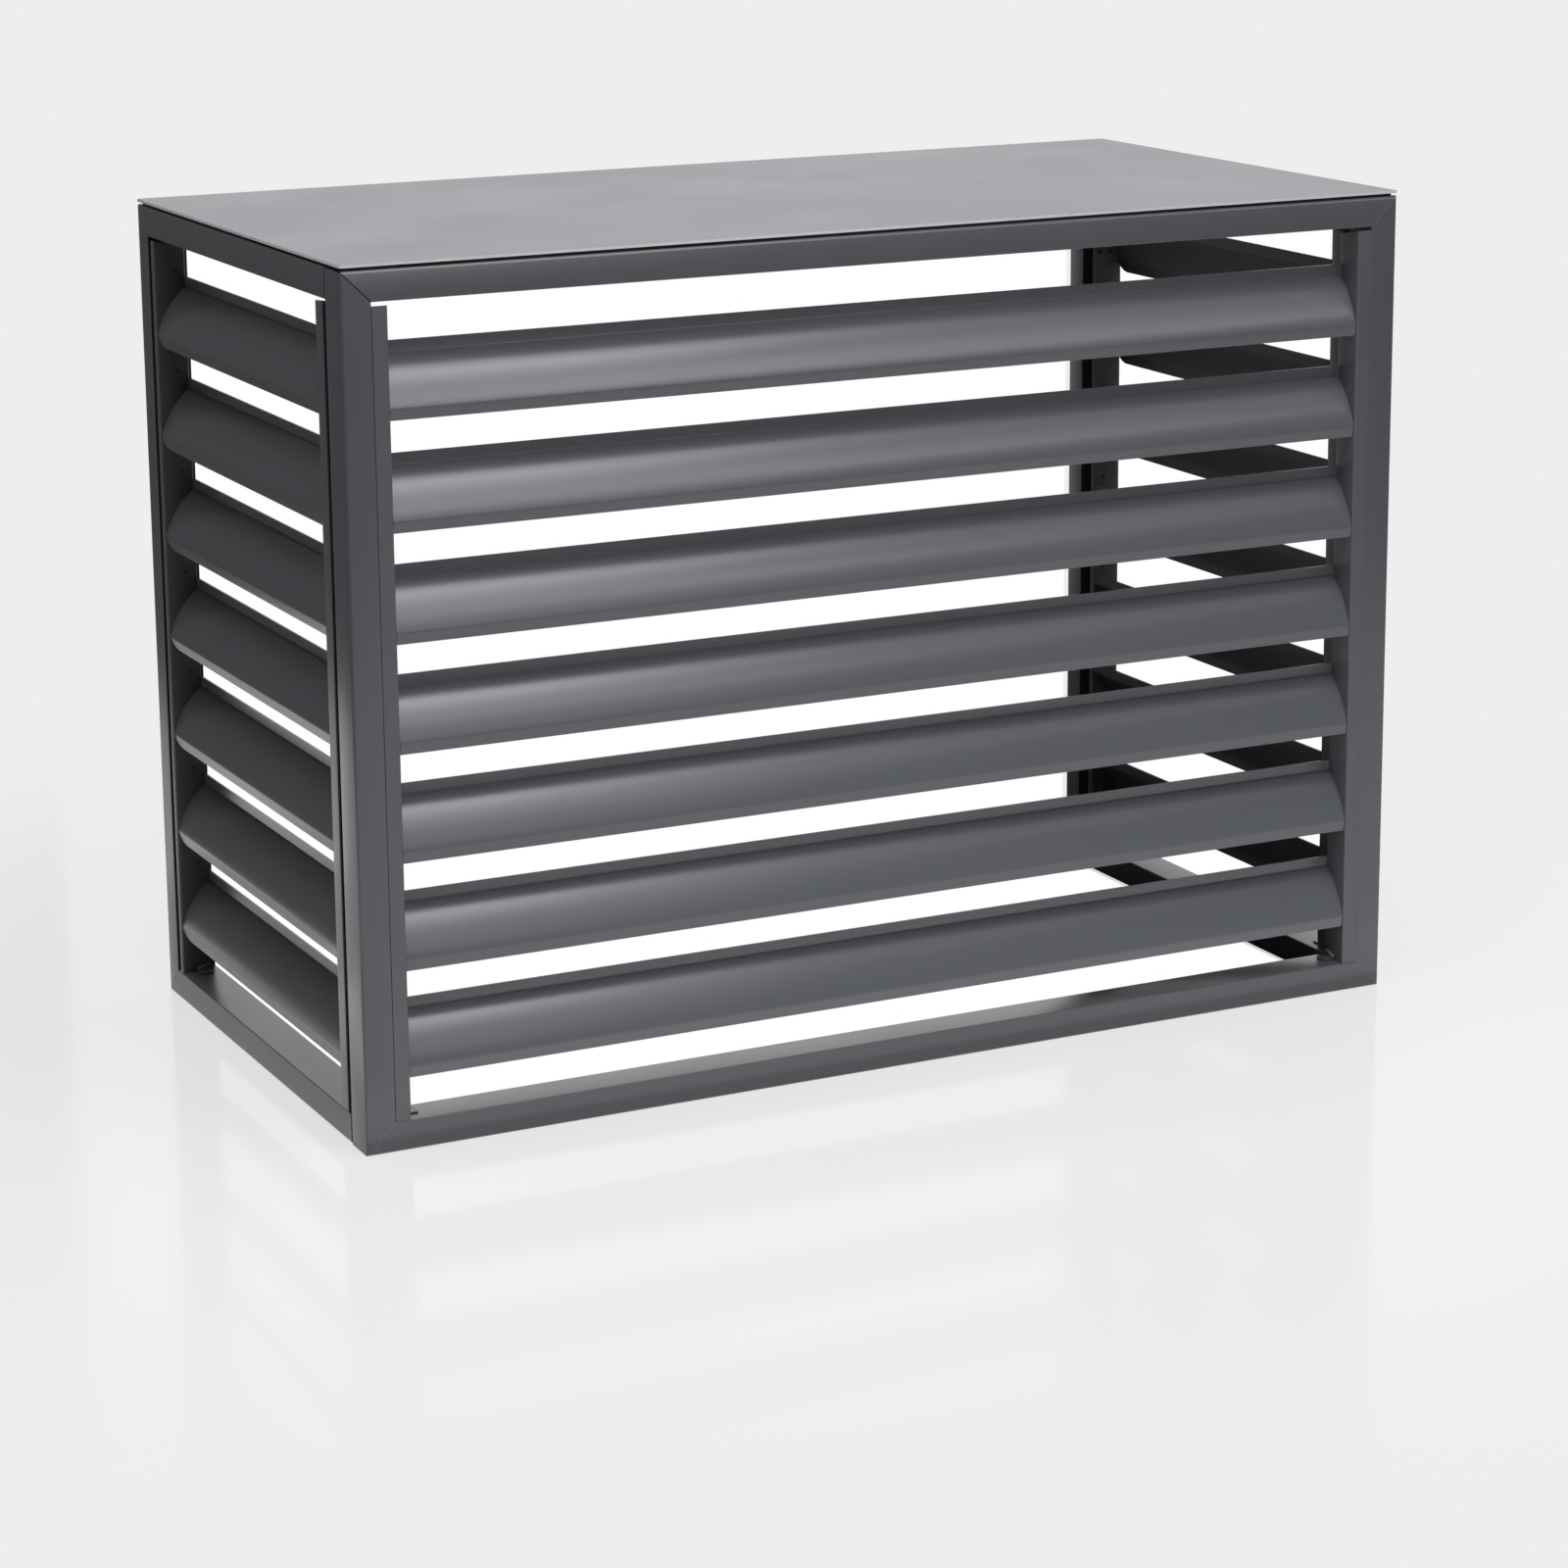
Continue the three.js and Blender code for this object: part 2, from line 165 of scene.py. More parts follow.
floor = plain_mesh(
    "studio_floor",
    [(-FLOOR_HALF, -FLOOR_HALF, 0), (FLOOR_HALF, -FLOOR_HALF, 0),
     (FLOOR_HALF, FLOOR_HALF, 0), (-FLOOR_HALF, FLOOR_HALF, 0)],
    [(0, 1, 2, 3)])
paper, tree = new_material("studio paper")
place = add_node(tree, "ShaderNodeTexCoord")
distance = add_node(
    tree, "ShaderNodeVectorMath", {0: place.outputs["Object"]}, operation="LENGTH")
nearness = stretched(
    tree, distance.outputs["Value"], SHADOW_REACH, (SHADOW_SHARE, 0.0),
    interpolation_type="SMOOTHSTEP")
lit = add_node(tree, "ShaderNodeBsdfDiffuse", {"Color": PAPER})
flat = add_node(tree, "ShaderNodeEmission", {"Color": BACKGROUND, "Strength": 1.0})
shown = mixed_shader(tree, nearness, flat.outputs["Emission"], lit.outputs["BSDF"])
polish = maths(tree, "MULTIPLY", nearness, POLISH_PER_SHADE)
mirror = add_node(tree, "ShaderNodeBsdfGlossy", {"Color": WHITE, "Roughness": POLISH_ROUGHNESS})
polished = mixed_shader(tree, polish, shown, mirror.outputs["BSDF"])
choice = mixed_shader(tree, seen_by_eye_or_gloss(tree), lit.outputs["BSDF"], polished)
add_node(tree, "ShaderNodeOutputMaterial", {"Surface": choice})
floor.data.materials.append(paper)
print("floor:", 2 * FLOOR_HALF, "m square")

# %% [markdown]
# The room around the set is pale behind and to the right, where its light glances off the top
# sheet. Three dark cloths hang round the set, as photographers hang them. A tall one in front and
# a nearer one at the left darken the far end of each reflection in the upright faces and in the
# side's blades. A low one stands at the right and behind, below the height of the top sheet, and
# keeps the inside dark. The camera looks past all three, and reflections don't show the low one.

# %% Room and dark cloths
ROOM_LIGHT = (0.42, 0.42, 0.43, 1)
CLOTH_COLOUR = (0.13, 0.13, 0.135, 1)
PANEL_ARC = radians(5)
# Each row: name, radius, height, the angles it hangs between, and whether reflections show it. The
# angles are in degrees: 0 is at the right, 90 behind, 180 at the left and 270 in front.
CLOTHS = (
    ("studio_tall_cloth", 2.4, 2.2, 200, 350, True),
    ("studio_left_cloth", 1.75, 2.2, 98, 200, True),
    ("studio_low_cloth", 1.5, 0.7, -10, 98, False),
)

world = bpy.data.worlds.new("studio")
bpy.context.scene.world = world
world.use_nodes = True
tree = world.node_tree
tree.nodes.clear()
seen = add_node(tree, "ShaderNodeBackground", {"Color": BACKGROUND})
room = add_node(tree, "ShaderNodeBackground", {"Color": ROOM_LIGHT})
choice = mixed_shader(
    tree, seen_by_eye_or_gloss(tree), room.outputs["Background"], seen.outputs["Background"])
add_node(tree, "ShaderNodeOutputWorld", {"Surface": choice})

cloth, tree = new_material("dark studio cloth")
shade = add_node(tree, "ShaderNodeBsdfDiffuse", {"Color": CLOTH_COLOUR})
add_node(tree, "ShaderNodeOutputMaterial", {"Surface": shade.outputs["BSDF"]})


def hang_cloth(name, radius, height, start, end):
    panels = round((end - start) / PANEL_ARC)
    corners = []
    for i in range(panels + 1):
        angle = start + (end - start) * i / panels
        x, y = radius * cos(angle), radius * sin(angle)
        corners += [(x, y, 0.0), (x, y, height)]
    faces = [(2 * i, 2 * i + 2, 2 * i + 3, 2 * i + 1) for i in range(panels)]
    hanging = plain_mesh(name, corners, faces)
    hanging.visible_camera = False
    hanging.data.materials.append(cloth)
    print(name, "has", panels, "panels at", radius, "m")
    return hanging


for name, radius, height, start, end, in_gloss in CLOTHS:
    hanging = hang_cloth(name, radius, height, radians(start), radians(end))
    hanging.visible_glossy = in_gloss

# %% [markdown]
# Through the gaps between the blades the photograph shows pure white, a little brighter than the
# room. White cards give that: one fills the rear opening, one stands just outside the right frame
# and one lies on the floor inside. Only the camera sees them, and only from the side that faces
# the inside. A dark mat on the floor inside and behind keeps the floor from lighting the inside.
# It has an upper side only and casts no shadow, so that the floor under it looks as bright as
# elsewhere.

# %% White cards and dark mat
CARD_GAP = 2 * MM
CARD_LIFT = 1 * MM
MAT_LIFT = CARD_LIFT / 2
INSET = 45 * MM
MAT_REACH = 1.6


def one_sided(tree, front):
    clear = add_node(tree, "ShaderNodeBsdfTransparent")
    side = add_node(tree, "ShaderNodeNewGeometry")
    choice = mixed_shader(tree, side.outputs["Backfacing"], front, clear.outputs["BSDF"])
    add_node(tree, "ShaderNodeOutputMaterial", {"Surface": choice})


white, tree = new_material("white card")
glow = add_node(tree, "ShaderNodeEmission", {"Color": WHITE, "Strength": 1.0})
one_sided(tree, glow.outputs["Emission"])
dark_mat, tree = new_material("dark mat")
shade = add_node(tree, "ShaderNodeBsdfDiffuse", {"Color": CLOTH_COLOUR})
one_sided(tree, shade.outputs["BSDF"])


def stage_card(name, corners, finish):
    card = plain_mesh(name, corners, [(0, 1, 2, 3)])
    card.data.materials.append(finish)
    card.visible_shadow = False
    return card


def white_card(name, corners):
    card = stage_card(name, corners, white)
    card.visible_diffuse = False
    card.visible_glossy = False
    card.visible_transmission = False
    print(name, "faces", tuple(round(part) for part in card.data.polygons[0].normal))


x0, y0, z0 = cad_low[0] + INSET, cad_low[1] + INSET, CARD_LIFT
x1, y1, z1 = cad_high[0] - INSET, cad_high[1] - CARD_LIFT, cad_high[2] - INSET
beyond = cad_high[0] + CARD_GAP
white_card("studio_rear_card", [(x0, y1, z0), (x1, y1, z0), (x1, y1, z1), (x0, y1, z1)])
white_card("studio_right_card", [
    (beyond, y1, z0), (beyond, y0, z0), (beyond, y0, z1), (beyond, y1, z1)])
white_card("studio_floor_card", [(x0, y0, z0), (x1, y0, z0), (x1, y1, z0), (x0, y1, z0)])
mat = stage_card("studio_mat", [
    (x0, y0, MAT_LIFT), (MAT_REACH, y0, MAT_LIFT), (MAT_REACH, MAT_REACH, MAT_LIFT),
    (x0, MAT_REACH, MAT_LIFT)], dark_mat)
mat.visible_camera = False

# %% [markdown]
# Large soft lamps stand overhead, high in front, at the left and low behind, where one glances
# off the top sheet, and a bright board on the floor in front lifts the lower part. A smooth coat
# also shows its lamps as broad soft gleams. So that those can be placed freely, some lamps here
# light the screen but leave no gleam, and some only glow: they show in the gloss and light
# nothing else. Three glows stand in front of the arched blades, and three lie on the floor as
# strips, where the upright faces near the ground find them. One has a narrow spread, so that only
# the upper blades see it.

# %% Lamps
LEFT_GLOW_TURN = radians(26)
NEAR_GLOW_SPREAD = radians(110)
# Each row: name, place, the point it is aimed at, width, height, watts.
LAMPS = (
    ("overhead_lamp", (-0.1, -0.6, 3.3), (-0.1, -0.4, 0), 2.8, 2.8, 82),
    ("rear_lamp", (1.9, 3.6, 1.5), (0, 0, 0.8), 3.2, 1.4, 8.5),
)
LAMPS_WITHOUT_GLEAM = (
    ("front_board", (0.05, -0.65, 0.01), (0.05, -0.65, 1), 1.3, 0.6, 2.2),
    ("high_lamp", (0.2, -3.0, 4.0), (0, 0, 0.4), 2.4, 1.5, 72),
    ("left_lamp", (-1.5, 0, 2.0), (-0.555, 0, 0.6), 0.8, 0.8, 6),
)
GLOWS = (
    ("front_glow", (0.7, -2.2, 1.52), (1.0, -0.25, 0.97), 2.2, 1.5, 15),
    ("near_glow", (0.4, -1.0, 1.22), (0.1, -0.28, 1.35), 1.5, 0.5, 4.5),
    ("high_glow", (0.1, -1.7, 2.7), (0, -0.2, 0.4), 1.6, 1.0, 20),
    ("left_glow", (-0.97, 1.14, 0.01), (-0.97, 1.14, 1), 0.2, 1.2, 0.42),
    ("front_strip", (0.1, -0.36, 0.01), (0.1, -0.36, 1), 1.5, 0.13, 0.3),
    ("left_strip", (-0.71, 0, 0.01), (-0.71, 0, 1), 0.14, 0.4, 0.09),
)


def soft_lamp(name, place, aim, width, height, watts):
    lamp = bpy.data.lights.new(name, "AREA")
    lamp.shape = "RECTANGLE"
    lamp.size = width
    lamp.size_y = height
    lamp.energy = watts
    thing = bpy.data.objects.new(name, lamp)
    thing.location = place
    thing.rotation_euler = (Vector(aim) - Vector(place)).to_track_quat("-Z", "Y").to_euler()
    thing.visible_camera = False
    bpy.context.scene.collection.objects.link(thing)
    return thing


for row in LAMPS:
    soft_lamp(*row)
for row in LAMPS_WITHOUT_GLEAM:
    soft_lamp(*row).visible_glossy = False
for row in GLOWS:
    glow = soft_lamp(*row)
    glow.visible_diffuse = False
    if glow.name == "near_glow":
        glow.data.spread = NEAR_GLOW_SPREAD
    if glow.name == "left_glow":
        glow.rotation_euler.z += LEFT_GLOW_TURN
bpy.context.scene.view_settings.view_transform = "Standard"
print("lamps:", len(bpy.data.lights))

# %% [markdown]
# The bends of the tubes, channels and blades are made of a few flat strips. A modifier shades the
# strips of one bend as a single round, and leaves every real corner sharp. It welds the loose
# corners of the carried-over meshes first, because shading can only run across an edge that two
# faces share.

# %% Smooth bends
WELD_REACH = 0.01 * MM
SHARP_ANGLE = radians(32)

smooth_bends = bpy.data.node_groups.new("smooth bends", "GeometryNodeTree")
sockets = smooth_bends.interface
sockets.new_socket("Geometry", in_out="INPUT", socket_type="NodeSocketGeometry")
sockets.new_socket("Geometry", in_out="OUTPUT", socket_type="NodeSocketGeometry")
start = add_node(smooth_bends, "NodeGroupInput")
weld = add_node(smooth_bends, "GeometryNodeMergeByDistance", {
    "Geometry": start.outputs["Geometry"], "Distance": WELD_REACH})
angle = add_node(smooth_bends, "GeometryNodeInputMeshEdgeAngle")
sharp = add_node(smooth_bends, "FunctionNodeCompare", {
    "A": angle.outputs["Unsigned Angle"], "B": SHARP_ANGLE},
    data_type="FLOAT", operation="GREATER_THAN")
normals = add_node(smooth_bends, "GeometryNodeSetMeshNormal", {
    "Mesh": weld.outputs["Geometry"], "Remove Custom": True,
    "Edge Sharpness": sharp.outputs["Result"], "Face Sharpness": False}, mode="SHARPNESS")
add_node(smooth_bends, "NodeGroupOutput", {"Geometry": normals.outputs["Mesh"]})
print("bends shaded round below", round(degrees(SHARP_ANGLE)), "degrees")

# %% [markdown]
# Powder coat is sprayed on dry and melted in an oven. Close up it has a fine grain, like the skin
# of an orange, which also speckles its colour, and over a long piece its gloss drifts a little.
# One group gives the grain and the drift to every finish that is sprayed.

# %% Powder grain group
GRAIN_SIZE_MM = 0.9
GRAIN_DETAIL = 2.0
DRIFT_SIZE_MM = 160.0
DRIFT_DETAIL = 3.0


def group_with(name, inputs, outputs):
    group = bpy.data.node_groups.new(name, "ShaderNodeTree")
    for title, value in inputs:
        socket = group.interface.new_socket(title, in_out="INPUT", socket_type="NodeSocketFloat")
        socket.default_value = value
    for title in outputs:
        group.interface.new_socket(title, in_out="OUTPUT", socket_type="NodeSocketFloat")
    return group, add_node(group, "NodeGroupInput")


def object_noise(tree, per_metre, detail):
    place = add_node(tree, "ShaderNodeTexCoord")
    noise = add_node(tree, "ShaderNodeTexNoise", {
        "Vector": place.outputs["Object"], "Scale": per_metre, "Detail": detail})
    return noise.outputs["Fac"]


powder_grain, start = group_with(
    "powder grain", [("Grain Size mm", GRAIN_SIZE_MM), ("Drift Size mm", DRIFT_SIZE_MM)],
    ["Grain", "Drift"])
grains_per_metre = maths(powder_grain, "DIVIDE", 1 / MM, start.outputs["Grain Size mm"])
drifts_per_metre = maths(powder_grain, "DIVIDE", 1 / MM, start.outputs["Drift Size mm"])
add_node(powder_grain, "NodeGroupOutput", {
    "Grain": object_noise(powder_grain, grains_per_metre, GRAIN_DETAIL),
    "Drift": object_noise(powder_grain, drifts_per_metre, DRIFT_DETAIL)})
print("group:", powder_grain.name, "with grains of", GRAIN_SIZE_MM, "mm")

# %% [markdown]
# Along a fold or a sawn edge the coat is thinner and rubbed by hands and packing, and the lighter
# colour there is partly that wear and partly a painted highlight where the edge catches the light.
# The group compares the true normal with one rounded over a small width: they differ only near an
# edge. Noise breaks the line up, so that it doesn't look drawn.

# %% Edge rub and highlight group
RUB_LIKENESS = (0.995, 0.90)
RUB_SAMPLES = 4
PATCHES_PER_METRE = 45.0
PATCH_DETAIL = 4.0
PATCH_RANGE = (0.35, 0.65)

edge_rub_and_highlight, start = group_with("edge rub", [("Width m", 1 * MM), ("Patchiness", 0.5)], ["Mask"])
true_normal = add_node(edge_rub_and_highlight, "ShaderNodeNewGeometry")
round_normal = add_node(
    edge_rub_and_highlight, "ShaderNodeBevel", {"Radius": start.outputs["Width m"]}, samples=RUB_SAMPLES)
likeness = add_node(edge_rub_and_highlight, "ShaderNodeVectorMath", {
    0: true_normal.outputs["Normal"], 1: round_normal.outputs["Normal"]},
    operation="DOT_PRODUCT")
edge = stretched(edge_rub_and_highlight, likeness.outputs["Value"], RUB_LIKENESS, (0.0, 1.0))
kept = maths(edge_rub_and_highlight, "SUBTRACT", 1.0, start.outputs["Patchiness"])
patches = object_noise(edge_rub_and_highlight, PATCHES_PER_METRE, PATCH_DETAIL)
patch = stretched(edge_rub_and_highlight, patches, PATCH_RANGE, (kept, 1.0))
add_node(edge_rub_and_highlight, "NodeGroupOutput", {"Mask": maths(edge_rub_and_highlight, "MULTIPLY", edge, patch)})
print("group:", edge_rub_and_highlight.name)

# %% [markdown]
# The front frame's tubes meet at 45 degrees. Three of the joints are closed and show as a light
# hairline, where the saw edge was rubbed and catches the light, so the hairline is partly wear and
# partly a painted highlight. The one at the upper left stands open a little, and its dark line is
# painted shade. A line so fine is drawn in the material: it runs where a point is as far from the
# side as from the top or foot.

# %% Mitre line group
HALF_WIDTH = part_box("front_right_stile")[1][0]
HALF_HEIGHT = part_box("front_top_rail")[1][2] / 2
OPEN_JOINT = 0.9 * MM
CLOSED_JOINT = 0.45 * MM
# Painted highlight with rub for the closed joints, painted shade for the open one.
MITRE_RUB_HIGHLIGHT = (0.20, 0.202, 0.208, 1)
MITRE_GAP_SHADE = (0.012, 0.012, 0.014, 1)

mitre_line, start = group_with(
    "mitre line", [("Half Width", HALF_WIDTH), ("Half Height", HALF_HEIGHT)], ["Open", "Closed"])
place = add_node(mitre_line, "ShaderNodeTexCoord")
split = add_node(mitre_line, "ShaderNodeSeparateXYZ", {"Vector": place.outputs["Object"]})


def step(operation, *values):
    return maths(mitre_line, operation, *values)


across = step("ABSOLUTE", split.outputs["X"])
from_side = step("SUBTRACT", start.outputs["Half Width"], across)
rise = step("SUBTRACT", split.outputs["Z"], start.outputs["Half Height"])
from_end = step("SUBTRACT", start.outputs["Half Height"], step("ABSOLUTE", rise))
off_line = step("ABSOLUTE", step("SUBTRACT", from_side, from_end))
at_left = step("LESS_THAN", split.outputs["X"], 0.0)
at_upper_left = step("MULTIPLY", at_left, step("GREATER_THAN", rise, 0.0))
elsewhere = step("SUBTRACT", 1.0, at_upper_left)
near_open = step("LESS_THAN", off_line, OPEN_JOINT)
near_closed = step("LESS_THAN", off_line, CLOSED_JOINT)
add_node(mitre_line, "NodeGroupOutput", {
    "Open": step("MULTIPLY", near_open, at_upper_left),
    "Closed": step("MULTIPLY", near_closed, elsewhere)})
print("group:", mitre_line.name, "half width", round(HALF_WIDTH, 4),
      "half height", round(HALF_HEIGHT, 4))

# %% [markdown]
# The coat is a dark anthracite with a satin gloss. The frame, the blades and the top sheet get the
# same recipe with slightly different values, as pieces of one colour from different batches have.
# The faces that look inward get a darker, duller copy of the coat, which is painted shade for the
# dark inside of the screen. The same darker copy is painted shade in the upper fold of each blade.

# %% Sprayed coats
# The colour sockets of a mix node go by number, because several of its sockets share one name.
MIX_SHARE, MIX_FIRST, MIX_SECOND, MIX_RESULT = 0, 6, 7, 2
DRIFT_RANGE = (0.3, 0.7)
GRAIN_STRENGTH = 0.35
GRAIN_DEPTH = 0.03 * MM
COAT_IOR = 1.5


def mixed_colour(tree, share, first, second):
    mix = add_node(tree, "ShaderNodeMix", {
        MIX_SHARE: share, MIX_FIRST: first, MIX_SECOND: second}, data_type="RGBA")
    return mix.outputs[MIX_RESULT]


def sprayed_coat(name, colour, speck_colour, rub_highlight_colour, rub_highlight_width, gloss, mitred=False):
    material, tree = new_material(name)
    powder = add_node(tree, "ShaderNodeGroup", node_tree=powder_grain)
    rub = add_node(tree, "ShaderNodeGroup", node_tree=edge_rub_and_highlight)
    rub.inputs["Width m"].default_value = rub_highlight_width
    coat = mixed_colour(tree, powder.outputs["Grain"], (*colour, 1), (*speck_colour, 1))
    # Edges take a lighter colour: partly rubbed coat, partly painted highlight.
    coat = mixed_colour(tree, rub.outputs["Mask"], coat, (*rub_highlight_colour, 1))
    if mitred:
        joint = add_node(tree, "ShaderNodeGroup", node_tree=mitre_line)
        # Painted highlight along the closed mitres, painted shade along the open one.
        coat = mixed_colour(tree, joint.outputs["Closed"], coat, MITRE_RUB_HIGHLIGHT)
        coat = mixed_colour(tree, joint.outputs["Open"], coat, MITRE_GAP_SHADE)
    skin = add_node(tree, "ShaderNodeBump", {
        "Strength": GRAIN_STRENGTH, "Distance": GRAIN_DEPTH, "Height": powder.outputs["Grain"]})
    shader = add_node(tree, "ShaderNodeBsdfPrincipled", {
        "Base Color": coat,
        "Roughness": stretched(tree, powder.outputs["Drift"], DRIFT_RANGE, gloss),
        "IOR": COAT_IOR, "Normal": skin.outputs["Normal"]})
    add_node(tree, "ShaderNodeOutputMaterial", {"Surface": shader.outputs["BSDF"]})
    print("coat:", name)
    return material


frame_coat = sprayed_coat(
    "anthracite coat on the frame", (0.078, 0.081, 0.088), (0.086, 0.089, 0.096),
    rub_highlight_colour=(0.15, 0.153, 0.16), rub_highlight_width=0.8 * MM, gloss=(0.29, 0.34))
front_coat = sprayed_coat(
    "anthracite coat on the mitred front", (0.076, 0.079, 0.087), (0.084, 0.087, 0.095),
    rub_highlight_colour=(0.15, 0.153, 0.16), rub_highlight_width=0.8 * MM, gloss=(0.22, 0.26), mitred=True)
# Painted shade: a darker, duller copy of the coat for the inward faces and the blades' upper folds.
painted_inner_shade = sprayed_coat(
    "painted shade on the inner faces", (0.034, 0.035, 0.038), (0.042, 0.043, 0.046),
    rub_highlight_colour=(0.06, 0.061, 0.064), rub_highlight_width=0.6 * MM, gloss=(0.50, 0.56))
front_blade_coat = sprayed_coat(
    "anthracite coat on the front blades", (0.089, 0.094, 0.105), (0.100, 0.105, 0.116),
    rub_highlight_colour=(0.14, 0.143, 0.15), rub_highlight_width=0.6 * MM, gloss=(0.23, 0.27))
side_blade_coat = sprayed_coat(
    "anthracite coat on the side blades", (0.076, 0.079, 0.085), (0.086, 0.089, 0.095),
    rub_highlight_colour=(0.13, 0.133, 0.14), rub_highlight_width=0.6 * MM, gloss=(0.23, 0.27))
sheet_coat = sprayed_coat(
    "anthracite coat on the top sheet", (0.071, 0.076, 0.087), (0.077, 0.082, 0.093),
    rub_highlight_colour=(0.20, 0.205, 0.21), rub_highlight_width=0.8 * MM, gloss=(0.37, 0.41))

# %% [markdown]
# Aluminium that was sawn after coating shows a pale matt edge, a little uneven. The same pale
# colour on the rim of the top sheet is a painted highlight. The keys inside the corners are left
# uncoated too, and have fine scratches along them.

# %% Bare metal, sawn edges and a painted rim highlight
SCRATCH_DETAIL = 3.0


def bare_metal(name, colour, scratch_colour, gloss, scratches_per_metre):
    material, tree = new_material(name)
    place = add_node(tree, "ShaderNodeTexCoord")
    stretch = add_node(tree, "ShaderNodeMapping", {
        "Vector": place.outputs["Object"], "Scale": scratches_per_metre})
    scratches = add_node(tree, "ShaderNodeTexNoise", {
        "Vector": stretch.outputs["Vector"], "Scale": 1.0, "Detail": SCRATCH_DETAIL})
    share = scratches.outputs["Fac"]
    shader = add_node(tree, "ShaderNodeBsdfPrincipled", {
        "Base Color": mixed_colour(tree, share, (*colour, 1), (*scratch_colour, 1)),
        "Metallic": 1.0, "Roughness": stretched(tree, share, (0.0, 1.0), gloss)})
    add_node(tree, "ShaderNodeOutputMaterial", {"Surface": shader.outputs["BSDF"]})
    print("metal:", name)
    return material


def patchy_finish(name, colour, patch_colour, per_metre, detail, gloss, specular=0.5):
    material, tree = new_material(name)
    patches = object_noise(tree, per_metre, detail)
    shader = add_node(tree, "ShaderNodeBsdfPrincipled", {
        "Base Color": mixed_colour(tree, patches, (*colour, 1), (*patch_colour, 1)),
        "Roughness": stretched(tree, patches, (0.0, 1.0), gloss),
        "Specular IOR Level": specular})
    add_node(tree, "ShaderNodeOutputMaterial", {"Surface": shader.outputs["BSDF"]})
    print("finish:", name)
    return material


bare_aluminium = bare_metal(
    "bare aluminium", (0.60, 0.60, 0.61), (0.72, 0.72, 0.73), gloss=(0.30, 0.45),
    scratches_per_metre=(900, 900, 60))
# The sawn edge colour also serves as the painted highlight on the top sheet's rim.
sawn_edge_and_rim_highlight = patchy_finish(
    "sawn edge and painted rim highlight", (0.48, 0.48, 0.49), (0.62, 0.62, 0.63), per_metre=380.0, detail=2.0,
    gloss=(0.5, 0.5))

# %% [markdown]
# The top sheet lies on a strip of black rubber, set back from the edge, which shows as a dark
# line under its rim. Rubber takes a bloom: a faint grey cast in patches, with hardly any gloss.
# Between the rear stile of a side frame and its channel there is a seam, and the side of the stile
# that looks into it is painted black as the shade in the seam.

# %% Rubber and painted seam shade
seal_rubber = patchy_finish(
    "seal rubber", (0.012, 0.012, 0.013), (0.022, 0.022, 0.023), per_metre=55.0, detail=3.0,
    gloss=(0.7, 0.9))
# Painted shade: near-black colour for the side of a rear stile inside its seam.
painted_seam_shade = patchy_finish(
    "painted black seam shade", (0.006, 0.006, 0.008), (0.014, 0.014, 0.016), per_metre=90.0, detail=3.0,
    gloss=(0.6, 0.6), specular=0.25)

# %% [markdown]
# Each carried-over piece takes its coat, and the faces that a saw or shear left bare take the pale
# edge: the top ends of the channels and the upper edge of each cleat. The rim of the top sheet
# takes the same pale colour as a painted highlight. Faces that look into the seam beside a rear
# stile are painted black as shade, and those that look inward, with the upper fold of each blade,
# take the darker copy of the coat as painted shade. Which way a face looks is read from how far its
# normal points along an axis.

# %% Dress the pieces
FRONT_TUBES = ("front_top_rail", "front_bottom_rail", "front_left_stile", "front_right_stile")
OUTWARD = {"front": Vector((0, -1, 0)), "left": Vector((-1, 0, 0)), "right": Vector((1, 0, 0))}
SQUARELY = 0.9
MOSTLY = 0.5
BARELY = 0.05
CLEAT_EDGE = 4.6 * MM
FOLD_STRIP = 2.2 * MM
FOLD_TILT = (0.05, 0.85)


def coat_of(name):
    if name == "top_sheet":
        return sheet_coat
    if name == "top_seal":
        return seal_rubber
    if "_blade_" in name:
        return front_blade_coat if name.startswith("front") else side_blade_coat
    if name.endswith("_key"):
        return bare_aluminium
    return front_coat if name in FRONT_TUBES else frame_coat


def is_cut_or_rim_highlight(name, polygon, top):
    # The top sheet's rim takes the pale colour as a painted highlight; the channel ends and cleat
    # edges are bare cuts.
    if name == "top_sheet":
        return abs(polygon.normal.z) < MOSTLY
    if name.endswith("_channel"):
        return polygon.normal.z > SQUARELY
    if name.endswith("_cleat"):
        return polygon.normal.z > MOSTLY and polygon.center.z > top - CLEAT_EDGE
    return False


# Painted shade: the side of a rear stile that looks into its seam turns black.
def is_in_seam_shade(name, polygon):
    return name.endswith("_rear_stile") and polygon.normal.y < -SQUARELY


# Painted shade: inward faces, the rear channels' front-facing webs and the blades' upper folds take
# the darker copy of the coat.
def is_in_painted_shade(name, node, polygon, middle):
    if name.endswith("_rear_channel"):
        return polygon.normal.y < -SQUARELY
    if "_blade_" not in name:
        return False
    if polygon.normal.dot(OUTWARD[name.split("_")[0]]) < -BARELY:
        return True
    heights = [node.data.vertices[i].co.z for i in polygon.vertices]
    in_shaded_upper_fold = polygon.center.z > middle and max(heights) - min(heights) < FOLD_STRIP
    return in_shaded_upper_fold and FOLD_TILT[0] < polygon.normal.z < FOLD_TILT[1]


counts = [0, 0, 0, 0]
for name, node in nodes.items():
    node.data.materials.clear()
    for finish in (coat_of(name), sawn_edge_and_rim_highlight, painted_seam_shade, painted_inner_shade):
        node.data.materials.append(finish)
    low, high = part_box(name)
    for polygon in node.data.polygons:
        index = 0
        if is_cut_or_rim_highlight(name, polygon, high[2]):
            index = 1
        elif is_in_seam_shade(name, polygon):
            index = 2
        elif is_in_painted_shade(name, node, polygon, (low[2] + high[2]) / 2):
            index = 3
        polygon.material_index = index
        counts[index] += 1
    shading = node.modifiers.new("smooth bends", "NODES")
    shading.node_group = smooth_bends
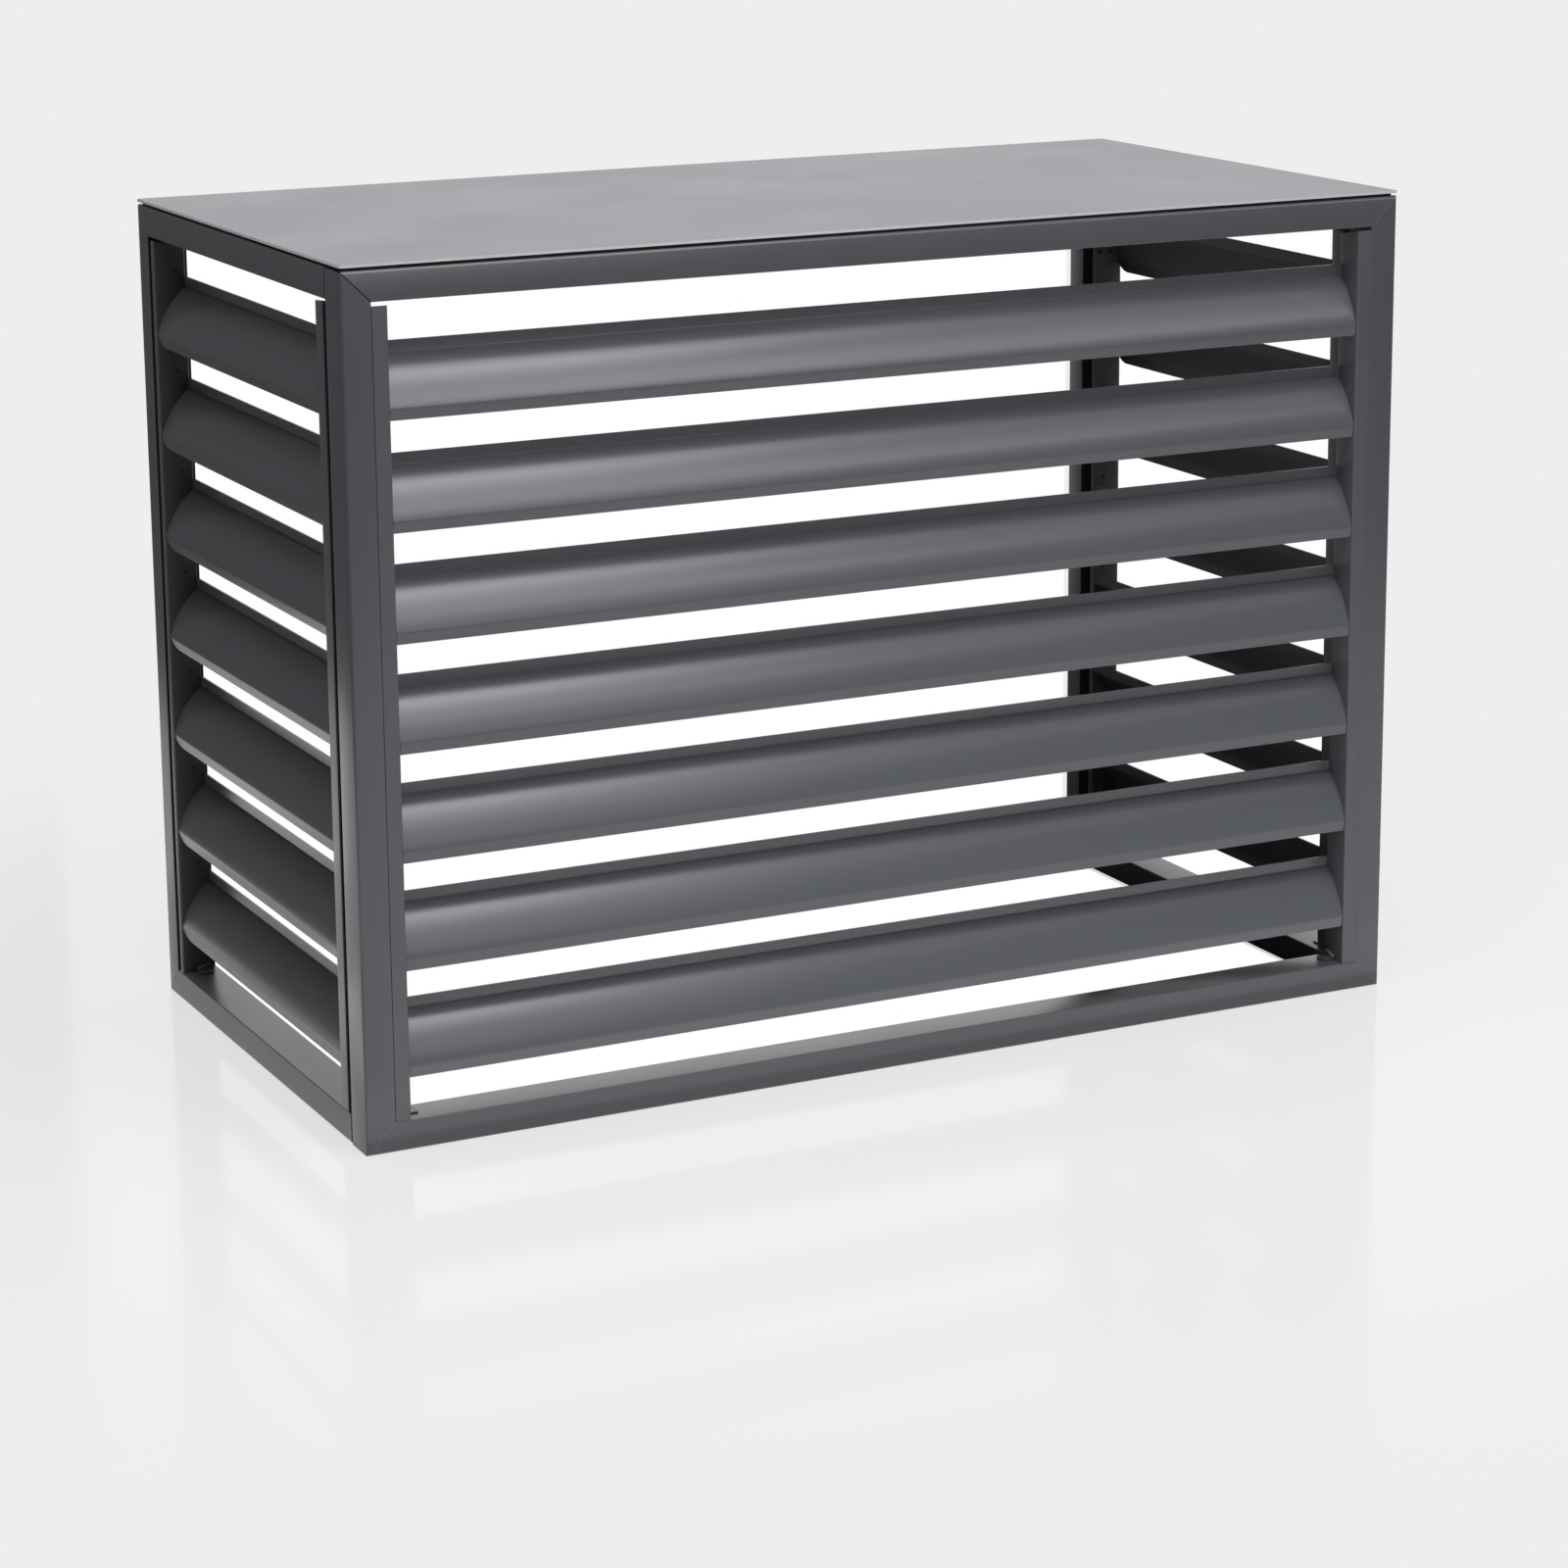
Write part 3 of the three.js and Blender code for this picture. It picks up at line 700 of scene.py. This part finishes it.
# The last three counts are the sawn edges with the painted rim highlight, the painted seam shade
# and the painted inner shade.
print("dressed", len(nodes), "pieces; coated, cut, sealed and dull faces:", counts)

# %% [markdown]
# Every blade is held by its end tabs: two pan-head screws pass through each tab into the channel,
# and their heads sit on the tab's inner face. The head is one lathed dome with a cross driven
# into it. Its rings and the cross's width and reach are shares of its radius. Its rim, its dome
# and the cross's depth are shares of its height.

# %% Screw heads
RING_SHARES = (1.0, 1.0, 0.92, 0.72, 0.5, 0.36, 0.22, 0.1)
SPOKES = 24
RIM_SHARE = 0.3
DOME_SHARE = 0.7
CROSS_DEPTH_SHARE = 0.45
CROSS_WIDTH_SHARE = 0.13
CROSS_REACH_SHARE = 0.6


def head_height(share, along, across):
    dome = (1 - share * share) ** 0.5 if share < 1 else 0
    slot = min(abs(along), abs(across))
    in_cross = slot < CROSS_WIDTH_SHARE and share < CROSS_REACH_SHARE
    return RIM_SHARE + DOME_SHARE * dome - (CROSS_DEPTH_SHARE if in_cross else 0)


def screw_heads(name, spots, radius, height, finish):
    corners = []
    faces = []
    for place, facing in spots:
        turn = Vector(facing).to_track_quat("Z", "Y").to_matrix()
        first = len(corners)
        for ring, share in enumerate(RING_SHARES):
            for spoke in range(SPOKES):
                along = share * cos(2 * pi * spoke / SPOKES)
                across = share * sin(2 * pi * spoke / SPOKES)
                level = 0 if ring == 0 else height * head_height(share, along, across)
                offset = turn @ Vector((radius * along, radius * across, level))
                corners.append(Vector(place) + offset)
        for ring in range(len(RING_SHARES) - 1):
            for spoke in range(SPOKES):
                here = first + ring * SPOKES + spoke
                beside = first + ring * SPOKES + (spoke + 1) % SPOKES
                faces.append((here, beside, beside + SPOKES, here + SPOKES))
        last = first + (len(RING_SHARES) - 1) * SPOKES
        faces.append(tuple(range(last, last + SPOKES)))
        faces.append(tuple(range(first + SPOKES - 1, first - 1, -1)))
    heads = plain_mesh(name, corners, faces)
    heads.data.materials.append(finish)
    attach(heads, "root")
    print(name, "has", len(spots), "screws")


# %% [markdown]
# The places follow the blades: about fifteen and thirty millimetres behind the outer face of
# their frame, and twenty above the blade's lower edge. These screws are plated in yellow zinc
# that has gone dull and brown. The side frames' channels also show a small dark screw above each
# blade.

# %% Place the screws
TAB_WALL = 1.5 * MM
TAB_SCREW_DEPTHS = (15.5 * MM, 29.4 * MM)
TAB_SCREW_RISE = 20.3 * MM
TAB_SCREW_RADIUS = 3.4 * MM
TAB_SCREW_HEIGHT = 2.2 * MM
WEB_SCREW_DEPTH = 20 * MM
WEB_SCREW_RISE = 6.5 * MM
WEB_SCREW_RADIUS = 2.3 * MM
WEB_SCREW_HEIGHT = 1.4 * MM

OUTER_FACE = {"front": cad_low[1], "left": cad_low[0], "right": cad_high[0]}
INWARD = {"front": 1, "left": 1, "right": -1}
yellow_zinc = bare_metal(
    "dull yellow zinc", (0.11, 0.088, 0.05), (0.17, 0.135, 0.08), gloss=(0.38, 0.50),
    scratches_per_metre=(700, 700, 700))
dark_steel = bare_metal(
    "blackened steel", (0.05, 0.05, 0.055), (0.09, 0.09, 0.095), gloss=(0.35, 0.5),
    scratches_per_metre=(700, 700, 700))


def spot(side, depth, along, height, facing):
    inner = OUTER_FACE[side] + INWARD[side] * depth
    if side == "front":
        return (along, inner, height), (facing, 0, 0)
    return (inner, along, height), (0, facing, 0)


def tab_spots(side):
    spots = []
    for name in nodes:
        if name.startswith(side + "_blade_"):
            low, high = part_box(name)
            axis = 0 if side == "front" else 1
            for depth in TAB_SCREW_DEPTHS:
                height = low[2] + TAB_SCREW_RISE
                spots.append(spot(side, depth, low[axis] + TAB_WALL, height, 1))
                spots.append(spot(side, depth, high[axis] - TAB_WALL, height, -1))
    return spots


def web_spots(side):
    front_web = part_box(side + "_front_channel")[1][1]
    rear_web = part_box(side + "_rear_channel")[0][1]
    spots = []
    for name in nodes:
        if name.startswith(side + "_blade_"):
            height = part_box(name)[1][2] + WEB_SCREW_RISE
            spots.append(spot(side, WEB_SCREW_DEPTH, front_web, height, 1))
            spots.append(spot(side, WEB_SCREW_DEPTH, rear_web, height, -1))
    return spots


for side in OUTER_FACE:
    screw_heads(
        side + "_tab_screws", tab_spots(side), TAB_SCREW_RADIUS, TAB_SCREW_HEIGHT, yellow_zinc)
for side in ("left", "right"):
    screw_heads(
        side + "_web_screws", web_spots(side), WEB_SCREW_RADIUS, WEB_SCREW_HEIGHT, dark_steel)
